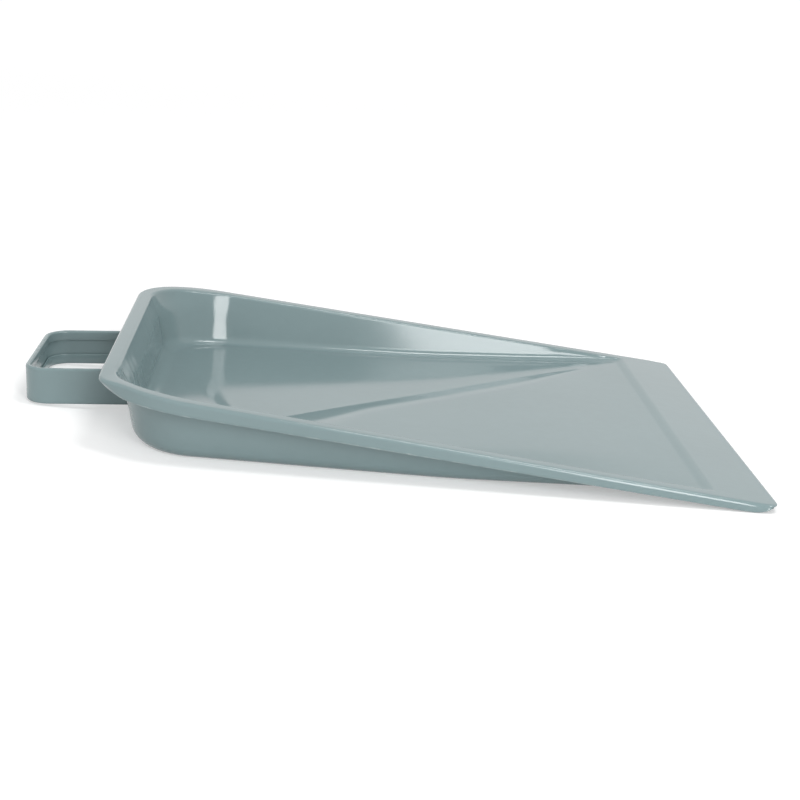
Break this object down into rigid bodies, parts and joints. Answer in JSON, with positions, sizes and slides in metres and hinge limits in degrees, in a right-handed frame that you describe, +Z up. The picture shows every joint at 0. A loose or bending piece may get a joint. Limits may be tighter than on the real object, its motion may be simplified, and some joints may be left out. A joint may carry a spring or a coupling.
{
  "type": "dustpan",
  "caption": "Wide sheet-steel dustpan: a drawn pan with a flanged rim that runs out to a flat front lip, and a hemmed strap loop handle spot-welded to its back wall.",
  "frame": {"origin": "on the ground, in the middle of the length from the grip to the front edge", "axes": "+X towards the front lip, +Y to the left side, +Z up"},
  "size_m": [0.3999, 0.3004, 0.0376],
  "materials": {
    "pan_paint": "glossy",
    "handle_paint": "glossy",
    "weld_metal": "satin"
  },
  "bodies": {
    "root": {"pan": "pan_paint", "handle": "handle_paint", "weld_left_inner": "weld_metal", "weld_left_outer": "weld_metal", "weld_right_inner": "weld_metal", "weld_right_outer": "weld_metal"}
  },
  "joints": []
}
